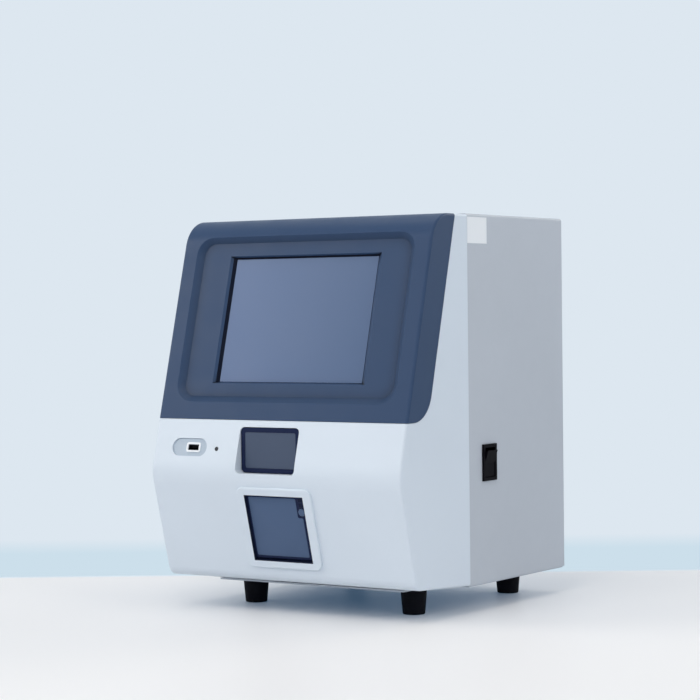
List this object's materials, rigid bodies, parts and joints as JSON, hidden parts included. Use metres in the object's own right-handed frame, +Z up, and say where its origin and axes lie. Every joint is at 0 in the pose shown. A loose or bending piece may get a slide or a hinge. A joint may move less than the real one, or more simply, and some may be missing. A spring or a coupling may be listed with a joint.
{
  "type": "immunofluorescence analyzer",
  "caption": "Bench-top immunofluorescence analyzer: wedge-shaped front with tilted touch screen, motor-driven sample drawer, ticket printer with hinged cover, sheet-metal case on rubber feet.",
  "frame": {"origin": "on the bench under the middle of the instrument's overall box", "axes": "+X to the right as seen by the user, +Y towards the back, +Z up"},
  "size_m": [0.3044, 0.3267, 0.398],
  "materials": {
    "fascia_plastic": "fine satin, moulded",
    "bezel_plastic": "fine satin, moulded",
    "panel_paint": "fine powder coat",
    "plated_steel": "zinc plated",
    "screw_steel": "plain bright",
    "aluminium": "milled",
    "black_rubber": "matt",
    "screen_glass": "gloss",
    "optical_glass": "gloss",
    "display_metal": "matt black",
    "grey_plastic": "satin",
    "slate_plastic": "satin",
    "light_slate_plastic": "satin",
    "white_plastic": "satin",
    "black_plastic": "satin",
    "dark_window": "gloss",
    "lamp_lens": "gloss",
    "motor_black": "semi-matt",
    "circuit_board": "solder mask",
    "roll_paper": "smooth",
    "sticker_paper": "smooth"
  },
  "bodies": {
    "case": {"front_fascia": "fascia_plastic", "screen_bezel": "bezel_plastic", "touch_glass": "screen_glass", "lcd_module": "display_metal", "display_bracket": "plated_steel", "left_side_panel": "panel_paint", "right_side_panel": "panel_paint", "top_panel": "panel_paint", "rear_panel": "panel_paint", "base_pan": "plated_steel", "frame_upright_left": "plated_steel", "frame_upright_right": "plated_steel", "frame_crossbar": "plated_steel", "foot_front_left": "black_rubber", "foot_front_right": "black_rubber", "foot_rear_left": "black_rubber", "foot_rear_right": "black_rubber", "foot_screws": "screw_steel", "case_screws": "screw_steel", "port_escutcheon": "grey_plastic", "usb_shell": "screw_steel", "usb_tongue": "black_plastic", "status_lamp": "lamp_lens", "drawer_motor": "motor_black", "drawer_guide_left": "white_plastic", "drawer_guide_right": "white_plastic", "mechanism_deck": "aluminium", "deck_posts": "aluminium", "scanner_blocks": "aluminium", "scanner_rods": "screw_steel", "scanner_motor": "motor_black", "printer_rim": "fascia_plastic", "printer_bay": "black_plastic", "cover_pin": "screw_steel", "feed_motor": "motor_black", "print_head": "plated_steel", "switch_frame": "black_plastic", "side_sticker": "sticker_paper", "main_board": "circuit_board", "power_supply": "aluminium", "network_port": "screw_steel", "mains_inlet": "black_plastic", "fan_frame": "black_plastic"},
    "drawer": {"drawer_front": "slate_plastic", "drawer_inset": "light_slate_plastic", "drawer_tray": "black_plastic", "drawer_rack": "white_plastic"},
    "drawer_pinion": {"drawer_pinion": "white_plastic"},
    "scanner_carriage": {"scanner_head": "black_plastic", "scanner_lenses": "optical_glass"},
    "scanner_screw": {"scanner_screw": "screw_steel"},
    "printer_cover": {"printer_cover": "slate_plastic", "printer_marks": "dark_window"},
    "cover_latch": {"cover_latch": "grey_plastic"},
    "platen": {"platen_roller": "black_rubber", "platen_gear": "white_plastic"},
    "feed_gear": {"feed_gear": "white_plastic"},
    "paper_roll": {"paper_roll": "roll_paper"},
    "power_rocker": {"power_rocker": "black_plastic"},
    "fan_rotor": {"fan_rotor": "black_plastic"}
  },
  "joints": [
    {"name": "drawer_slide", "type": "slide", "parent": "case", "child": "drawer", "axis": [0, -1, 0], "range_m": [0, 0.09]},
    {"name": "drawer_pinion_spin", "type": "hinge", "parent": "case", "child": "drawer_pinion", "pos_m": [0.01307, -0.066, 0.1465], "axis": [0, 0, 1], "continuous": true},
    {"name": "scanner_slide", "type": "slide", "parent": "case", "child": "scanner_carriage", "axis": [0, -1, 0], "range_m": [-0.018, 0.018]},
    {"name": "scanner_screw_spin", "type": "hinge", "parent": "case", "child": "scanner_screw", "pos_m": [-0.00905, -0.07, 0.177], "axis": [0, 1, 0], "continuous": true},
    {"name": "printer_cover_hinge", "type": "hinge", "parent": "case", "child": "printer_cover", "pos_m": [0, -0.13843, 0.0598], "axis": [1, 0, 0], "range_deg": [0, 90]},
    {"name": "cover_latch_press", "type": "slide", "parent": "printer_cover", "child": "cover_latch", "axis": [0, 0.9659, 0.2588], "range_m": [0, 0.0012], "stiffness_N_per_m": 400},
    {"name": "platen_spin", "type": "hinge", "parent": "printer_cover", "child": "platen", "pos_m": [0, -0.14557, 0.11503], "axis": [1, 0, 0], "continuous": true},
    {"name": "feed_gear_spin", "type": "hinge", "parent": "case", "child": "feed_gear", "pos_m": [0.035, -0.13825, 0.11699], "axis": [1, 0, 0], "continuous": true},
    {"name": "paper_roll_spin", "type": "hinge", "parent": "case", "child": "paper_roll", "pos_m": [0, -0.11559, 0.092], "axis": [1, 0, 0], "continuous": true},
    {"name": "power_rocker_tilt", "type": "hinge", "parent": "case", "child": "power_rocker", "pos_m": [0.145, 0.00435, 0.149], "axis": [0, -1, 0], "range_deg": [0, 16]},
    {"name": "fan_spin", "type": "hinge", "parent": "case", "child": "fan_rotor", "pos_m": [0.06, 0.1475, 0.3], "axis": [0, 1, 0], "continuous": true}
  ],
  "couplings": [
    {"joint": "drawer_pinion_spin", "follows": "drawer_slide", "rad_per_m": 142.86},
    {"joint": "scanner_screw_spin", "follows": "scanner_slide", "rad_per_m": 785.4},
    {"joint": "feed_gear_spin", "follows": "platen_spin", "ratio": -1.5}
  ]
}
